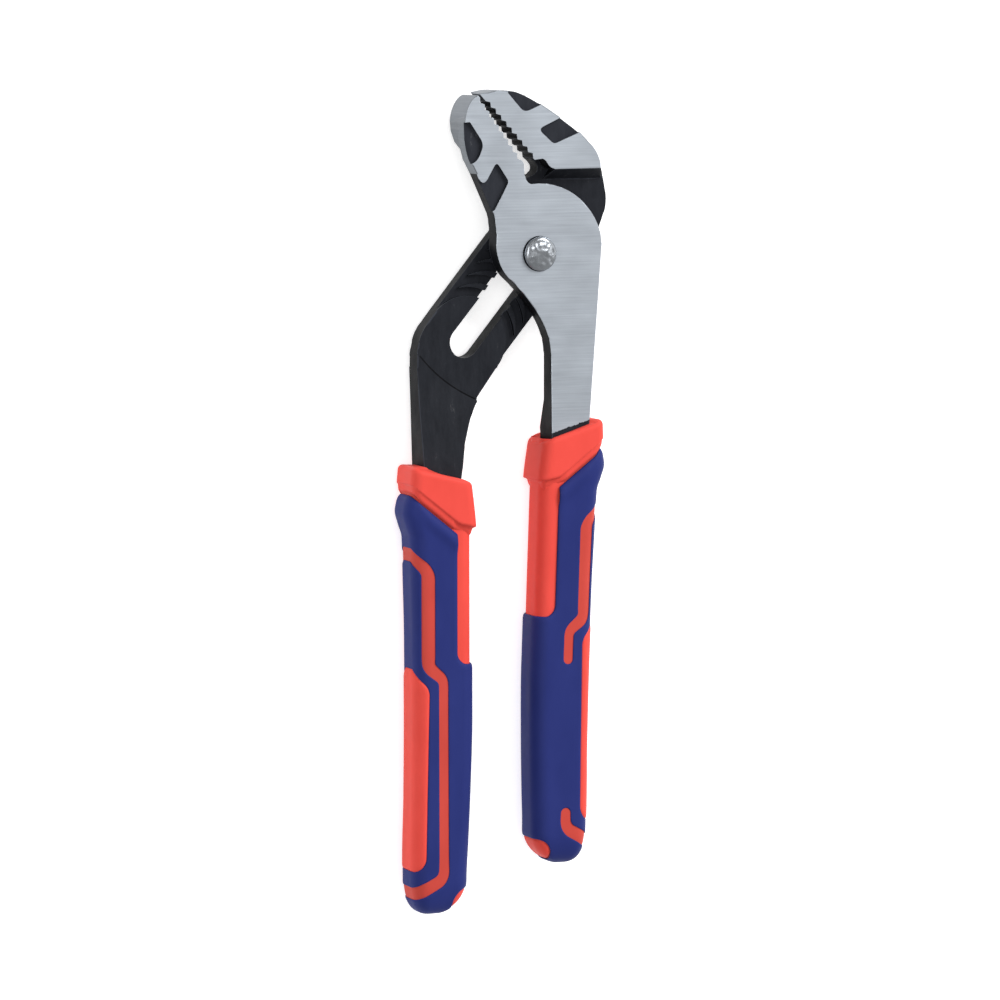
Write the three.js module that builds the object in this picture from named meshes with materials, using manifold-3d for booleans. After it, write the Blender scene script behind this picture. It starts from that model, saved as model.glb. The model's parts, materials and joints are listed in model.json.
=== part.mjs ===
// Water pump pliers: two forged handles that cross at a bolt, one of them slotted so that the bolt can be
// moved from groove to groove, with a two-colour moulded grip on each handle.
//
// The tool lies on its back: +Z points out of the polished side, +Y to the jaws. It is modelled about the
// bolt, with z = 0 where the forgings meet, and moved at the end so that the origin is the middle of the
// underside of its box.

import * as THREE from 'three';
import { ConvexGeometry } from 'three/addons/geometries/ConvexGeometry.js';
import { mergeVertices } from 'three/addons/utils/BufferGeometryUtils.js';
import Module from 'manifold-3d';

const wasm = await Module();
wasm.setup();

// Driving dimensions, in millimetres and degrees.

const JAW_HALF_THICKNESS = 6;
const LAP_GAP = 0.2;
const FIT_GAP = 0.3;

const PLATE_RADIUS = 21.2;
const SHANK_IN_COLLAR = 10.3;
const FRONT_SHANK_BACK_DEPTH = 3;
const FRONT_SLOPE_ABOVE_COLLAR = 6;
const FRONT_SLOPE_IN_COLLAR = 3;

const SLOT_ANGLE = 50.2;
const SLOT_WIDTH = 9.6;
const SLOT_REACH = 34.6;
const SLOT_HEADROOM = 0.6;
const BAND_HALF_WIDTH = 13.2;
const LAP_TURN_RADIUS = 48;
const REAR_SHANK_FRONT_HEIGHT = 3.5;
const REAR_SHANK_STEP = 0.5;
const REAR_SLOPE_ABOVE_COLLAR = 25.4;

const GROOVE_COUNT = 8;
const GROOVE_PITCH = 4.8;
const GROOVE_DEPTH = 1.6;
const TONGUE_RADIUS = 14.6;
const TONGUE_WIDTH = 2;
const TONGUE_HEIGHT = 1.2;
const TONGUE_CLEARANCE = 0.35;
const TONGUE_SPAN = [-8, 46];
const GROOVE_SPAN = [-90, 90];

const TOOTH_PITCH = 2.6;
const TOOTH_DEPTH = 0.9;
const RECESS_DEPTH = 1.2;

const BOLT_RADIUS = 3.5;
const BOLT_HEAD_RADIUS = 5.3;
const BOLT_HEAD_HEIGHT = 2.3;
const BOLT_CLEARANCE = 0.2;
const BOLT_EDGE = 0.5;
const BOLT_STUB = 0.8;
const WASHER_RADIUS = 7.5;
const WASHER_THICKNESS = 1;
const NUT_ACROSS_FLATS = 11;
const NUT_HEIGHT = 3.4;
const NUT_CHAMFER = 0.8;
const BUSH_OVERHANG = 1.2;

const GRIP_LENGTH = 137.3;
const GRIP_HALF_THICKNESS = 7.2;
const GRIP_ROUNDING = 4.6;
const COLLAR_HALF_THICKNESS = 8;
const COLLAR_ROUNDING = 2.4;
const SHELL_THICKNESS = 1.2;
const LINE_DEPTH = 0.8;
const STRIP_DEPTH = 0.9;
const PAD_HEIGHT = 0.4;
const TOE_DEPTH = 0.3;
const CORE_IN_COLLAR = 8;

const TANG_END_COVER = 15.3;
const TANG_HALF_WIDTH = 4.6;
const TANG_END_HALF_WIDTH = 3.4;
const TANG_HALF_THICKNESS = 3.7;

// Each grip's frame: where its axis leaves the collar's top, how it leans, which way its outer side is, how far
// the collar's top falls towards the inner side, and where a plain panel interrupts the loop line on its front,
// if it does.
const RIGHT_GRIP = { x: 11.2, y: -50.7, lean: -2, side: 1, fall: 6.4, panel: [75, -17.8] };
const LEFT_GRIP = { x: -31.6, y: -63.4, lean: 0, side: -1, fall: 4.8, panel: null };

const degrees = THREE.MathUtils.degToRad;

// The straight edges of the two shanks, from the upper end to the lower one.
const FRONT_SHANK_LEFT = [[3.9, -33], [4.2, -61]];
const FRONT_SHANK_RIGHT = [[20.8, 2.6], [16.2, -61]];
const REAR_SHANK_LEFT = [[-37.8, -34], [-36.8, -74]];
const REAR_SHANK_RIGHT = [[-23.3, -58], [-25.5, -74]];

const alongSlot = new THREE.Vector2(Math.cos(degrees(SLOT_ANGLE)), Math.sin(degrees(SLOT_ANGLE)));
const acrossSlot = new THREE.Vector2(-alongSlot.y, alongSlot.x);

// Long enough to pass through the whole tool, and how far joined solids run into each other.
const REACH = 400;
const FUSE = 1;

// Solids from three.js geometry, and back again.

function solidOf(geometry) {
  const bare = geometry.clone();
  bare.deleteAttribute('normal');
  bare.deleteAttribute('uv');
  const welded = mergeVertices(bare, 1e-4);
  return new wasm.Manifold(new wasm.Mesh({
    numProp: 3,
    vertProperties: new Float32Array(welded.attributes.position.array),
    triVerts: new Uint32Array(welded.index.array),
  }));
}

function geometryOf(solid) {
  const mesh = solid.getMesh();
  const geometry = new THREE.BufferGeometry();
  geometry.setAttribute('position', new THREE.BufferAttribute(mesh.vertProperties, mesh.numProp));
  geometry.setIndex(new THREE.BufferAttribute(mesh.triVerts, 1));
  geometry.computeVertexNormals();
  return geometry;
}

function joined(...solids) {
  return solids.reduce((whole, solid) => whole.add(solid));
}

function cut(whole, ...tools) {
  return tools.reduce((rest, tool) => rest.subtract(tool), whole);
}

function slab(shape, low, high, curveSegments = 6) {
  const depth = high - low;
  const geometry = new THREE.ExtrudeGeometry(shape, { depth, bevelEnabled: false, curveSegments });
  return geometry.translate(0, 0, low);
}

function prism(shape, low, high, curveSegments) {
  return solidOf(slab(shape, low, high, curveSegments));
}

function through(shape, curveSegments) {
  return prism(shape, -REACH, REACH, curveSegments);
}

// A slab with rounded edges whose widest outline is the shape itself.
function roundedSlab(shape, halfThickness, rounding, curveSegments) {
  const geometry = new THREE.ExtrudeGeometry(shape, {
    depth: 2 * (halfThickness - rounding),
    bevelThickness: rounding,
    bevelSize: rounding,
    bevelOffset: -rounding,
    bevelSegments: 3,
    curveSegments,
  });
  return solidOf(geometry.translate(0, 0, rounding - halfThickness));
}

function polygon(points) {
  return new THREE.Shape(points.map(([x, y]) => new THREE.Vector2(x, y)));
}

function cylinder(radius, low, high, segments = 32) {
  const geometry = new THREE.CylinderGeometry(radius, radius, high - low, segments);
  return solidOf(geometry.rotateX(Math.PI / 2).translate(0, 0, (low + high) / 2));
}

// A point of the slot's own frame: s along the slot towards the jaws, n across it.
function slotPoint(s, n) {
  return [s * alongSlot.x + n * acrossSlot.x, s * alongSlot.y + n * acrossSlot.y];
}

function spline(points) {
  return points.map(([x, y]) => new THREE.Vector2(x, y));
}

function curveTo(shape, [control, end]) {
  shape.quadraticCurveTo(...control, ...end);
}

// An outline through corners, where a third number blunts a corner by that distance along both its sides.
function bluntPolygon(corners) {
  const shape = new THREE.Shape();
  corners.forEach(([x, y, blunt = 0], index) => {
    const corner = new THREE.Vector2(x, y);
    const [before, after] = [corners.at(index - 1), corners[(index + 1) % corners.length]]
      .map(([u, v]) => new THREE.Vector2(u, v).sub(corner).setLength(blunt).add(corner));
    if (index === 0) {
      shape.moveTo(before.x, before.y);
    } else {
      shape.lineTo(before.x, before.y);
    }
    if (blunt > 0) {
      shape.quadraticCurveTo(x, y, after.x, after.y);
    }
  });
  return shape;
}

// The jaws' biting edges: straight lines from the throat to the tip, notched but for a plain length at it.
// The right jaw's rear half stands back from its front half, so daylight shows through the throat.

const FRONT_BITE = { throat: [-5.2, 27.4], tip: [-20.1, 48.1], plain: 1 };
const REAR_BITE = { throat: [-1.6, 28.4], tip: [-19.6, 48.4], plain: 2.9 };
const REAR_LAP_BITE = { throat: [0.2, 28.3], tip: [-17.7, 48.6], plain: 2.9 };
const FRONT_JAW_REAR_START = 0.12;

// Walks a biting edge from the throat to the tip; the notches lie to the left of the walk where side is 1.
function bite(shape, edge, side, start = 0) {
  const throat = new THREE.Vector2(...edge.throat);
  const tip = new THREE.Vector2(...edge.tip);
  const along = tip.clone().sub(throat);
  const length = along.length();
  along.normalize();
  const inward = new THREE.Vector2(-along.y, along.x).multiplyScalar(side * TOOTH_DEPTH);
  const toothed = length - edge.plain;
  const count = Math.floor(toothed / TOOTH_PITCH);
  const offset = toothed - count * TOOTH_PITCH;
  const first = Math.ceil(start * count);
  for (let tooth = first; tooth < count; tooth += 1) {
    const crest = throat.clone().addScaledVector(along, offset + tooth * TOOTH_PITCH);
    const root = crest.clone().addScaledVector(along, TOOTH_PITCH / 2).add(inward);
    shape.lineTo(crest.x, crest.y);
    shape.lineTo(root.x, root.y);
  }
  const last = tip.clone().addScaledVector(along, -edge.plain);
  shape.lineTo(last.x, last.y);
  shape.lineTo(tip.x, tip.y);
}

// A shank ends inside its collar. The part that the collar covers is drawn once: grown by the gap, it is
// the collar's socket.

function shankEnd(grip) {
  return grip.y - SHANK_IN_COLLAR;
}

function edgeAt([[x0, y0], [x1, y1]], y) {
  return x0 + (x1 - x0) * (y - y0) / (y1 - y0);
}

function shankSocket(grip, leftEdge, rightEdge, low, high) {
  const bottom = shankEnd(grip) - FIT_GAP;
  const top = grip.y + SHANK_IN_COLLAR;
  const outline = polygon([
    [edgeAt(leftEdge, bottom) - FIT_GAP, bottom],
    [edgeAt(rightEdge, bottom) + FIT_GAP, bottom],
    [edgeAt(rightEdge, top) + FIT_GAP, top],
    [edgeAt(leftEdge, top) - FIT_GAP, top],
  ]);
  return prism(outline, low - FIT_GAP, high + FIT_GAP);
}

// A wedge seen from the side, for a shank that thickens towards its collar: the points are y and z.
function ramp(points) {
  const geometry = slab(polygon(points), -REACH, REACH);
  return solidOf(geometry.rotateY(Math.PI / 2).rotateX(Math.PI / 2));
}

// The front forging: left jaw, plate round the bolt, and the shank of the right handle.

const PLATE_ARC = [16, 97];
const THROAT_TURN = [[-4.6, 21.4], [-4.8, 24.2]];
const NOSE_TURN = [[-23.8, 46.2], [-24.4, 40]];
const FRONT_JAW_BACK = [[-24.1, 34], [-22.9, 29], [-20.4, 24]];
const FRONT_WAIST = [[-14.2, 8], [-14, 1], [-11.7, -5.2], [-5.8, -11.4], [0.6, -19.8], [3.5, -27]];
const FRONT_WAIST_TOP = [-15.2, 12.8];
const FRONT_JAW_REAR_FOOT = [[-24.1, 37], [-22.9, 33.7], [-17, 26.6], [-9, 27.2]];
const FRONT_RECESSES = [
  [[-30, 39.4], [-22.8, 40], [-18.2, 33.3, 2], [-20.3, 28.2, 2], [-22.8, 27.2], [-30, 29]],
  [
    [-26, 20], [-19.8, 22.9], [-18.4, 20.6, 2.4], [-14.1, 28, 1.6],
    [-10, 21.9, 1], [-14.7, 13.4], [-26, 8],
  ],
];

function frontPlateShape() {
  const [arcStart, arcEnd] = PLATE_ARC.map(degrees);
  const end = shankEnd(RIGHT_GRIP);
  const shape = new THREE.Shape();
  shape.moveTo(edgeAt(FRONT_SHANK_RIGHT, end), end);
  shape.lineTo(...FRONT_SHANK_RIGHT[0]);
  shape.absarc(0, 0, PLATE_RADIUS, arcStart, arcEnd);
  curveTo(shape, THROAT_TURN);
  shape.lineTo(...FRONT_BITE.throat);
  bite(shape, FRONT_BITE, 1);
  curveTo(shape, NOSE_TURN);
  shape.splineThru(spline(FRONT_JAW_BACK));
  shape.lineTo(...FRONT_WAIST_TOP);
  shape.splineThru(spline([...FRONT_WAIST, FRONT_SHANK_LEFT[0]]));
  shape.lineTo(edgeAt(FRONT_SHANK_LEFT, end), end);
  return shape;
}

// The left jaw's rear half: only the nose and the part behind the teeth are as thick as the right jaw.
function frontJawRearShape() {
  const shape = new THREE.Shape();
  shape.moveTo(...FRONT_JAW_REAR_FOOT.at(-1));
  bite(shape, FRONT_BITE, 1, FRONT_JAW_REAR_START);
  curveTo(shape, NOSE_TURN);
  FRONT_JAW_REAR_FOOT.forEach((point) => shape.lineTo(...point));
  return shape;
}

// The black hollows in a jaw's polished face.
function recesses(outlines) {
  const floor = JAW_HALF_THICKNESS - RECESS_DEPTH;
  return outlines.map((corners) => prism(bluntPolygon(corners), floor, 2 * JAW_HALF_THICKNESS));
}

function pivotHandle() {
  const plate = prism(frontPlateShape(), LAP_GAP, JAW_HALF_THICKNESS);
  const jawRear = prism(frontJawRearShape(), -JAW_HALF_THICKNESS, JAW_HALF_THICKNESS);
  const backing = prism(frontPlateShape(), -FRONT_SHANK_BACK_DEPTH, JAW_HALF_THICKNESS).intersect(ramp([
    [-REACH, JAW_HALF_THICKNESS],
    [-REACH, -FRONT_SHANK_BACK_DEPTH],
    [RIGHT_GRIP.y - FRONT_SLOPE_IN_COLLAR, -FRONT_SHANK_BACK_DEPTH],
    [RIGHT_GRIP.y + FRONT_SLOPE_ABOVE_COLLAR, LAP_GAP],
    [RIGHT_GRIP.y + FRONT_SLOPE_ABOVE_COLLAR, JAW_HALF_THICKNESS],
  ]));
  const tongue = new THREE.Shape();
  const [from, to] = TONGUE_SPAN.map((angle) => degrees(angle + SLOT_ANGLE));
  tongue.absarc(0, 0, TONGUE_RADIUS + TONGUE_WIDTH / 2, from, to);
  tongue.absarc(0, 0, TONGUE_RADIUS - TONGUE_WIDTH / 2, to, from, true);
  const whole = joined(
    plate,
    jawRear,
    backing,
    prism(tongue, -TONGUE_HEIGHT, LAP_GAP + FUSE, 10),
    tang(RIGHT_GRIP),
  );
  const bore = cylinder(BOLT_RADIUS + BOLT_CLEARANCE, -REACH, REACH);
  return cut(whole, bore, ...recesses(FRONT_RECESSES));
}

// The rear forging: right jaw, slotted lap, and the shank of the left handle.

const LAP_BAND_RIGHT = [-29, 6];
const LAP_BAND_LEFT = [-33, -3.2];
const REAR_INNER_BEND = [[-19.8, -46.9], [-14.2, -38.4]];
const REAR_OUTER_BEND = [[-35.8, -23], [-37.5, -28.6]];
const LAP_BACK = [[20.5, 3.4], [24, 10.9], [24.9, 16.4], [23.6, 24], [21, 30]];
const LAP_SHOULDER = [19, 33];
const LAP_THROAT = [[1.9, 26.6], [2, 24.8], [0.4, 23.4]];
const LAP_FRONT = [[-3.6, 21.4], [-6.4, 16.6], [-9.3, 10.4]];
const REAR_JAW_BACK = [[13.4, 36.5], [7.1, 41], [0.5, 45.2], [-4.4, 47.8]];
const REAR_JAW_NOSE = [[-8, 49], [-13, 49.4], [-17, 48.8]];
const REAR_JAW_FOOT = [[20.6, 25.5], [5.2, 25.5]];
const REAR_JAW_FOOT_ON_LAP = [[23.5, 22.2], [3.6, 22.2]];
const REAR_JAW_FOOT_TURN = [[3.4, 25.9], [2.7, 27.3]];
const REAR_JAW_THROAT_TURN = [[2, 28.4], [1.1, 28.7]];
const REAR_JAW_END_TURN = [[20.2, 29.6], [17.4, 32.6]];
const REAR_RECESSES = [
  [[-9.4, 60], [-10.4, 48.6], [-5, 42.6, 2], [0.5, 44.9], [6, 60]],
  [[20, 56], [7.2, 41.1], [-0.4, 37.6, 1.9], [4.8, 33, 1.2], [13.2, 36.4], [24, 42]],
];

function rearLapShape() {
  const end = shankEnd(LEFT_GRIP);
  const [rightLow, rightHigh] = LAP_BAND_RIGHT.map((s) => slotPoint(s, -BAND_HALF_WIDTH));
  const [leftLow, leftHigh] = LAP_BAND_LEFT.map((s) => slotPoint(s, BAND_HALF_WIDTH));
  const shape = new THREE.Shape();
  shape.moveTo(edgeAt(REAR_SHANK_LEFT, end), end);
  shape.lineTo(edgeAt(REAR_SHANK_RIGHT, end), end);
  shape.lineTo(...REAR_SHANK_RIGHT[0]);
  shape.splineThru(spline([...REAR_INNER_BEND, rightLow]));
  shape.lineTo(...rightHigh);
  shape.splineThru(spline(LAP_BACK));
  shape.lineTo(...LAP_SHOULDER);
  rearJawTop(shape);
  rearBiteDown(shape, REAR_LAP_BITE);
  shape.splineThru(spline(LAP_THROAT));
  shape.splineThru(spline([...LAP_FRONT, leftHigh]));
  shape.lineTo(...leftLow);
  shape.splineThru(spline([...REAR_OUTER_BEND, REAR_SHANK_LEFT[0]]));
  return shape;
}

// The right jaw's back, from its right end over the top to the tip.
function rearJawTop(shape) {
  shape.splineThru(spline(REAR_JAW_BACK));
  shape.splineThru(spline(REAR_JAW_NOSE));
}

// The right jaw's biting edge is walked from the tip down, so its notches are worked out backwards.
function rearBiteDown(shape, edge) {
  const walk = new THREE.Shape();
  walk.moveTo(...edge.throat);
  bite(walk, edge, -1);
  walk.getPoints().reverse().forEach((point) => shape.lineTo(point.x, point.y));
}

function rearJawFrontShape() {
  const [footRight, footLeft] = REAR_JAW_FOOT;
  const shape = new THREE.Shape();
  shape.moveTo(...footLeft);
  shape.lineTo(...footRight);
  curveTo(shape, REAR_JAW_END_TURN);
  rearJawTop(shape);
  rearBiteDown(shape, REAR_BITE);
  shape.lineTo(...REAR_JAW_THROAT_TURN[1]);
  curveTo(shape, [REAR_JAW_THROAT_TURN[0], REAR_JAW_FOOT_TURN[1]]);
  curveTo(shape, [REAR_JAW_FOOT_TURN[0], footLeft]);
  return shape;
}

// The right jaw's underside leans out from the edge of the polished face to a line on the lap.
function rearJawUnderside() {
  const face = REAR_JAW_FOOT.map(([x, y]) => new THREE.Vector3(x, y, JAW_HALF_THICKNESS));
  const onLap = REAR_JAW_FOOT_ON_LAP.map(([x, y]) => new THREE.Vector3(x, y, 0));
  const middle = (face[0].x + face[1].x) / 2;
  const inJaw = face.map(({ x, y, z }) => (
    new THREE.Vector3(x + FUSE * Math.sign(middle - x), y + FUSE, z - FUSE)
  ));
  const inLap = [...onLap, ...inJaw].map(({ x, y }) => new THREE.Vector3(x, y, -FUSE));
  return solidOf(new ConvexGeometry([...face, ...onLap, ...inJaw, ...inLap]));
}

function slotShape(halfWidth, farEnd, nearEnd) {
  const far = slotPoint(-farEnd, 0);
  const near = slotPoint(nearEnd, 0);
  const turn = degrees(SLOT_ANGLE);
  const shape = new THREE.Shape();
  shape.absarc(far[0], far[1], halfWidth, turn + Math.PI / 2, turn + 1.5 * Math.PI);
  shape.absarc(near[0], near[1], halfWidth, turn - Math.PI / 2, turn + Math.PI / 2);
  return shape;
}

function groove(index) {
  const [x, y] = slotPoint(-index * GROOVE_PITCH, 0);
  const half = TONGUE_WIDTH / 2 + TONGUE_CLEARANCE;
  const [from, to] = GROOVE_SPAN.map((angle) => degrees(angle + SLOT_ANGLE));
  const shape = new THREE.Shape();
  shape.absarc(x, y, TONGUE_RADIUS + half, from, to);
  shape.absarc(x, y, TONGUE_RADIUS - half, to, from, true);
  return prism(shape, -GROOVE_DEPTH, REACH, 14);
}

function slottedHandle() {
  const lap = prism(rearLapShape(), -JAW_HALF_THICKNESS, 0);
  const jawFront = prism(rearJawFrontShape(), -FUSE, JAW_HALF_THICKNESS);
  const shankFront = prism(rearLapShape(), -FUSE, REAR_SHANK_FRONT_HEIGHT).intersect(ramp([
    [0, -JAW_HALF_THICKNESS],
    [-REACH, -JAW_HALF_THICKNESS],
    [-REACH, REAR_SHANK_FRONT_HEIGHT],
    [LEFT_GRIP.y, REAR_SHANK_FRONT_HEIGHT],
    [LEFT_GRIP.y + REAR_SLOPE_ABOVE_COLLAR, REAR_SHANK_STEP],
    [0, REAR_SHANK_STEP],
  ]));
  const turned = cylinder(LAP_TURN_RADIUS, 0, REACH, 96);
  const whole = joined(lap, jawFront, rearJawUnderside(), cut(shankFront, turned), tang(LEFT_GRIP));
  const grooves = Array.from({ length: GROOVE_COUNT }, (_, index) => groove(index));
  const jawKeep = prism(rearJawFrontShape(), -GROOVE_DEPTH, JAW_HALF_THICKNESS);
  const slot = through(slotShape(SLOT_WIDTH / 2, SLOT_REACH, SLOT_HEADROOM), 12);
  return cut(whole, slot, cut(joined(...grooves), jawKeep), ...recesses(REAR_RECESSES));
}

// The tang that a grip is moulded over, in the forging's frame or, with a gap, as the grip's socket.

function gripMatrix(grip) {
  return new THREE.Matrix4().makeRotationZ(degrees(grip.lean)).setPosition(grip.x, grip.y, 0);
}

function tangGeometry(grow) {
  const end = TANG_END_COVER - GRIP_LENGTH - grow;
  const outline = polygon([
    [-TANG_HALF_WIDTH - grow, 0],
    [-TANG_END_HALF_WIDTH - grow, end],
    [TANG_END_HALF_WIDTH + grow, end],
    [TANG_HALF_WIDTH + grow, 0],
  ]);
  return slab(outline, -TANG_HALF_THICKNESS - grow, TANG_HALF_THICKNESS + grow);
}

function tang(grip) {
  const top = FUSE - SHANK_IN_COLLAR;
  const below = through(polygon([[-REACH, top], [-REACH, -REACH], [REACH, -REACH], [REACH, top]]));
  return solidOf(geometryOf(solidOf(tangGeometry(0)).intersect(below)).applyMatrix4(gripMatrix(grip)));
}

// The bolt, and what rides on it.

function turnedSolid(profile, segments = 32) {
  const points = profile.map(([radius, height]) => new THREE.Vector2(radius, height));
  return solidOf(new THREE.LatheGeometry(points, segments).rotateX(Math.PI / 2));
}

const WASHER_TOP = -JAW_HALF_THICKNESS - BOLT_CLEARANCE;
const NUT_TOP = WASHER_TOP - WASHER_THICKNESS;
const NUT_BOTTOM = NUT_TOP - NUT_HEIGHT;

function pivotBolt() {
  const seat = JAW_HALF_THICKNESS + BOLT_CLEARANCE;
  const end = NUT_BOTTOM - BOLT_STUB;
  const top = JAW_HALF_THICKNESS + BOLT_HEAD_HEIGHT;
  const dome = [0, 0.25, 0.5, 0.75].map((share) => {
    const angle = share * Math.PI / 2;
    const rise = top - seat - BOLT_EDGE;
    return [BOLT_HEAD_RADIUS * Math.cos(angle), seat + BOLT_EDGE + rise * Math.sin(angle)];
  });
  return turnedSolid([
    [0, end],
    [BOLT_RADIUS - BOLT_EDGE, end],
    [BOLT_RADIUS, end + BOLT_EDGE],
    [BOLT_RADIUS, seat],
    [BOLT_HEAD_RADIUS, seat],
    ...dome,
    [0, top],
  ]);
}

function guideBush() {
  const outline = slotShape(SLOT_WIDTH / 2 - FIT_GAP, BUSH_OVERHANG, 0);
  const body = prism(outline, -JAW_HALF_THICKNESS, -LAP_GAP, 10);
  return cut(body, cylinder(BOLT_RADIUS + BOLT_CLEARANCE, -REACH, REACH));
}

function rearWasher() {
  const disc = cylinder(WASHER_RADIUS, NUT_TOP, WASHER_TOP, 48);
  return cut(disc, cylinder(BOLT_RADIUS + BOLT_CLEARANCE, -REACH, REACH));
}

function pivotNut() {
  const corner = NUT_ACROSS_FLATS / 2 / Math.cos(Math.PI / 6);
  const hex = cylinder(corner, NUT_BOTTOM, NUT_TOP, 6);
  const chamfer = turnedSolid([
    [0, NUT_BOTTOM],
    [NUT_ACROSS_FLATS / 2, NUT_BOTTOM],
    [corner + FIT_GAP, NUT_BOTTOM + NUT_CHAMFER],
    [corner + FIT_GAP, NUT_TOP + FUSE],
    [0, NUT_TOP + FUSE],
  ]);
  return cut(hex.intersect(chamfer), cylinder(BOLT_RADIUS + BOLT_CLEARANCE, -REACH, REACH));
}

// The grips. They are drawn in their own frame: e is measured from the axis towards the outer side of the
// tool, t down the handle from the top of the collar, or back from its end where t is negative.

// The two edges are given as t and e, the end by where its two curves meet and how they are pulled.
const OUTER_EDGE = [
  [4, 10.6], [8.2, 10.7], [11, 11.7], [14, 12.2], [17.6, 11.2], [22, 9.9],
  [34, 9.6], [52, 9.2], [76, 9.1], [-37.3, 9.3], [-17.3, 9.8], [-9.3, 9.8],
];
const INNER_EDGE = [[-10.3, -8.4], [-22.3, -9], [-39.3, -9.8], [76, -10.4], [60, -10.4], [4, -10.4]];
const GRIP_END = { middle: 2, outerPull: 6.4, outerRise: 2.4, innerPull: -4.6, innerRise: 4.4 };
const OUTER_SIDE = 10;
const INNER_SIDE = -9;

const COLLAR_FOOT = [[14, 5.8], [-4.6, 20.5], [-14, 22.6]];
const STRIP_EDGE = -4.2;
const STRIP_END = 60.4;
const STRIP_TURN = 4;
const LOOP_OUTSIDE = { top: 25.4, upper: 3.4, step: 57.5, lower: -1.3, foot: -4.5 };
const LOOP_INSIDE = { top: 29.2, upper: 6.6, step: 58.6, lower: 1.9, foot: -8.5 };
const LOOP_TURN = { top: 6.2, step: 9, foot: 13 };
const PAD_BELOW_STEP = 4.4;
const PAD_ABOVE_FOOT = 5.4;
const PAD_EDGE = { upper: 5, lower: 6, turn: 7 };
const TOE_RISE = 8.1;
const TOE_EDGE = -2.8;
const TOE_TURN = 6.8;

function alongGrip(t) {
  return t < 0 ? GRIP_LENGTH + t : t;
}

// The corners of a path, without the last one where it comes back to the first.
function pathPoints(path, segments) {
  const points = path.getPoints(segments);
  const closed = points[0].distanceTo(points.at(-1)) < 1e-6;
  return points.slice(0, closed ? -1 : undefined).map((point) => [point.x, point.y]);
}

function gripShape(grip, points) {
  return new THREE.Shape(points.map(([e, t]) => new THREE.Vector2(grip.side * e, -t)));
}

// The whole handle's moulding, drawn in from its skin by an inset all round.
function gripBody(grip, inset) {
  const outer = OUTER_EDGE.map(([t, e]) => new THREE.Vector2(e - inset, alongGrip(t)));
  const inner = INNER_EDGE.map(([t, e]) => new THREE.Vector2(e + inset, alongGrip(t)));
  const end = GRIP_LENGTH - inset;
  const path = new THREE.Path();
  path.moveTo(outer[0].x, outer[0].y + inset);
  path.splineThru(outer.slice(1));
  const { middle, outerPull, outerRise, innerPull, innerRise } = GRIP_END;
  path.bezierCurveTo(outer.at(-1).x, end - outerRise, outerPull, end, middle, end);
  path.bezierCurveTo(innerPull, end, inner[0].x, end - innerRise, inner[0].x, inner[0].y);
  path.splineThru(inner.slice(1, -1));
  path.lineTo(inner.at(-1).x, inner.at(-1).y + inset);
  const outline = gripShape(grip, pathPoints(path, 2));
  return roundedSlab(outline, GRIP_HALF_THICKNESS - inset, GRIP_ROUNDING - inset / 2);
}

function pathPrism(grip, path) {
  return through(gripShape(grip, pathPoints(path, 5)));
}

// The field that a border of the loop line encloses, grown by a margin.
function loopField(grip, border, margin) {
  const [upper, lower] = [border.upper - margin, border.lower - margin];
  const top = border.top - margin;
  const foot = alongGrip(border.foot) + margin;
  const { step } = border;
  const stepEnd = step + LOOP_TURN.step;
  const path = new THREE.Path();
  path.moveTo(REACH, top);
  path.lineTo(OUTER_SIDE, top);
  path.quadraticCurveTo(upper, top, upper, top + LOOP_TURN.top);
  path.lineTo(upper, step);
  path.bezierCurveTo(upper, (step + stepEnd) / 2, lower, (step + stepEnd) / 2, lower, stepEnd);
  path.lineTo(lower, foot - LOOP_TURN.foot);
  path.quadraticCurveTo(lower, foot, OUTER_SIDE, foot);
  path.lineTo(REACH, foot);
  return pathPrism(grip, path);
}

// The loop line itself, drawn in by a margin on both sides and kept off the plain panel by it.
function loopLine(grip, margin) {
  const line = cut(loopField(grip, LOOP_OUTSIDE, -margin), loopField(grip, LOOP_INSIDE, margin));
  if (!grip.panel) {
    return line;
  }
  const [top, bottom] = [alongGrip(grip.panel[0]) - margin, alongGrip(grip.panel[1]) + margin];
  const [inner, outer] = [LOOP_OUTSIDE.lower - FUSE, LOOP_INSIDE.lower + FUSE];
  const outline = gripShape(grip, [[inner, top], [outer, top], [outer, bottom], [inner, bottom]]);
  return cut(line, prism(outline, 0, REACH));
}

function padField(grip, margin) {
  const top = LOOP_INSIDE.step + PAD_BELOW_STEP - margin;
  const foot = alongGrip(LOOP_INSIDE.foot) - PAD_ABOVE_FOOT + margin;
  const [upper, lower] = [PAD_EDGE.upper - margin, PAD_EDGE.lower - margin];
  const path = new THREE.Path();
  path.moveTo(REACH, top);
  path.lineTo(OUTER_SIDE, top);
  path.quadraticCurveTo(upper, top, upper, top + PAD_EDGE.turn);
  path.lineTo(lower, foot - PAD_EDGE.turn);
  path.quadraticCurveTo(lower, foot, OUTER_SIDE, foot);
  path.lineTo(REACH, foot);
  return pathPrism(grip, path);
}

function stripField(grip, margin) {
  const edge = STRIP_EDGE + margin;
  const end = STRIP_END + margin;
  const path = new THREE.Path();
  path.moveTo(-REACH, end);
  path.lineTo(-REACH, 0);
  path.lineTo(edge, 0);
  path.lineTo(edge, end - STRIP_TURN);
  path.quadraticCurveTo(edge, end, edge - STRIP_TURN, end);
  return pathPrism(grip, path);
}

function toeField(grip, margin) {
  const top = GRIP_LENGTH - TOE_RISE - margin;
  const edge = TOE_EDGE + margin;
  const path = new THREE.Path();
  path.moveTo(-REACH, top);
  path.lineTo(INNER_SIDE, top);
  path.quadraticCurveTo(edge, top, edge, top + TOE_TURN);
  path.lineTo(edge, GRIP_LENGTH + REACH);
  path.lineTo(-REACH, GRIP_LENGTH + REACH);
  return pathPrism(grip, path);
}

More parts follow.
